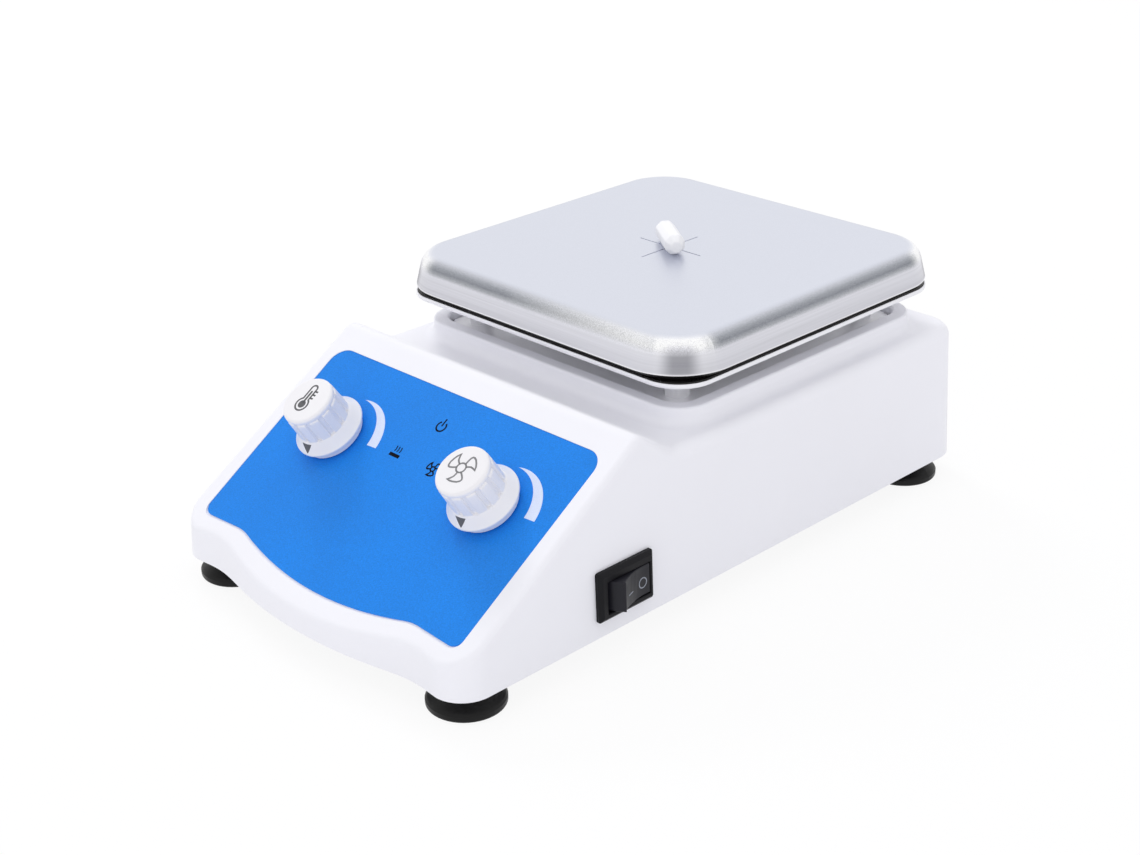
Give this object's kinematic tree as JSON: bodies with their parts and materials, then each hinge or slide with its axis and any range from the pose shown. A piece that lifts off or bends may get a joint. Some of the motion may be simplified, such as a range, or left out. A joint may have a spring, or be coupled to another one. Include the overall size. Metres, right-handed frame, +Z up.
{
  "type": "magnetic stirrer hot plate",
  "caption": "Bench magnetic stirrer with a square heated plate, sloped panel with fluted knobs, side rocker switch, fused rear inlet and a stirring bar on the plate.",
  "frame": {"origin": "middle of the part's footprint on the bench", "axes": "+Z up, +Y from the control panel to the rear inlet, +X towards the rocker switch"},
  "size_m": [0.1295, 0.2194, 0.0847],
  "materials": {
    "white_abs": "satin moulded white ABS",
    "knob_white": "satin moulded white ABS",
    "blue_film": "fine textured printed film",
    "black_rubber": "moulded",
    "plated_screws": "zinc plated",
    "bare_metal": "turned",
    "blasted_aluminium": "bead blasted",
    "carrier_aluminium": "mill finish",
    "mica": "pressed mica",
    "ceramic_wool": "felted fibre",
    "black_enamel": "gloss black enamel",
    "bright_sheet": "bright satin sheet",
    "zinc_sheet": "zinc plated sheet",
    "motor_steel": "drawn steel",
    "magnet": "nickel plated",
    "white_ptfe": "smooth PTFE",
    "pot_case": "moulded",
    "lamp_lens": "clear epoxy",
    "circuit_board": "solder mask",
    "black_nylon": "moulded nylon",
    "black_plastic": "moulded",
    "terminal_brass": "tinned",
    "fuse_glass": "clear glass",
    "capacitor_sleeve": "shrunk sleeve",
    "green_plastic": "moulded"
  },
  "bodies": {
    "housing": {"upper_housing": "white_abs", "bottom_cover": "zinc_sheet", "front_panel_film": "blue_film", "rubber_feet": "black_rubber", "foot_screws": "plated_screws", "hot_plate_pan": "blasted_aluminium", "heating_element": "mica", "insulation_pad": "ceramic_wool", "temperature_sensor": "bare_metal", "heater_tray": "black_enamel", "heat_shield": "bright_sheet", "plate_studs": "plated_screws", "plate_nuts": "plated_screws", "standoff_sleeves": "bare_metal", "shield_dish": "zinc_sheet", "dish_screws": "plated_screws", "motor_can": "motor_steel", "motor_endbell": "black_plastic", "motor_screws": "plated_screws", "temp_pot_body": "pot_case", "speed_pot_body": "pot_case", "pot_washers": "plated_screws", "pot_nuts": "plated_screws", "indicator_leds": "lamp_lens", "led_board": "circuit_board", "led_board_screws": "plated_screws", "switch_frame": "black_nylon", "switch_terminals": "terminal_brass", "inlet_body": "black_plastic", "inlet_pins": "bare_metal", "inlet_screws": "plated_screws", "inlet_nuts": "plated_screws", "control_board": "circuit_board", "board_screws": "plated_screws", "transformer": "motor_steel", "smoothing_capacitors": "capacitor_sleeve", "triac_heatsink": "carrier_aluminium", "triac": "black_plastic", "terminal_block": "green_plastic"},
    "temp_control": {"temp_knob": "knob_white", "temp_knob_shaft": "bare_metal"},
    "speed_control": {"speed_knob": "knob_white", "speed_knob_shaft": "bare_metal"},
    "rocker": {"switch_rocker": "black_nylon"},
    "rotor": {"motor_shaft": "bare_metal", "magnet_carrier": "carrier_aluminium", "drive_magnets": "magnet", "carrier_grub_screw": "plated_screws"},
    "stir_bar": {"stir_bar_jacket": "white_ptfe", "stir_bar_magnet": "magnet"},
    "fuse_holder": {"fuse_drawer": "black_plastic", "fuses": "fuse_glass"}
  },
  "joints": [
    {"name": "temp_knob_turn", "type": "hinge", "parent": "housing", "child": "temp_control", "pos_m": [-0.03541, -0.06719, 0.04141], "axis": [0, 0.549, -0.8358], "range_deg": [0, 300]},
    {"name": "speed_knob_turn", "type": "hinge", "parent": "housing", "child": "speed_control", "pos_m": [0.03039, -0.06719, 0.04141], "axis": [0, 0.549, -0.8358], "range_deg": [0, 300]},
    {"name": "rocker_tilt", "type": "hinge", "parent": "housing", "child": "rocker", "pos_m": [0.05687, -0.04621, 0.01973], "axis": [0.0262, 0, -0.9997], "range_deg": [0, 30]},
    {"name": "rotor_spin", "type": "hinge", "parent": "housing", "child": "rotor", "pos_m": [-0.00251, 0.03839, 0.05], "axis": [0, 0, 1], "continuous": true},
    {"name": "stir_bar_spin", "type": "hinge", "parent": "housing", "child": "stir_bar", "pos_m": [-0.00251, 0.03839, 0.08], "axis": [0, 0, 1], "continuous": true},
    {"name": "fuse_drawer_slide", "type": "slide", "parent": "housing", "child": "fuse_holder", "axis": [0, 0.9959, 0.0906], "range_m": [0, 0.022]}
  ],
  "couplings": [
    {"joint": "stir_bar_spin", "follows": "rotor_spin", "ratio": 1}
  ]
}
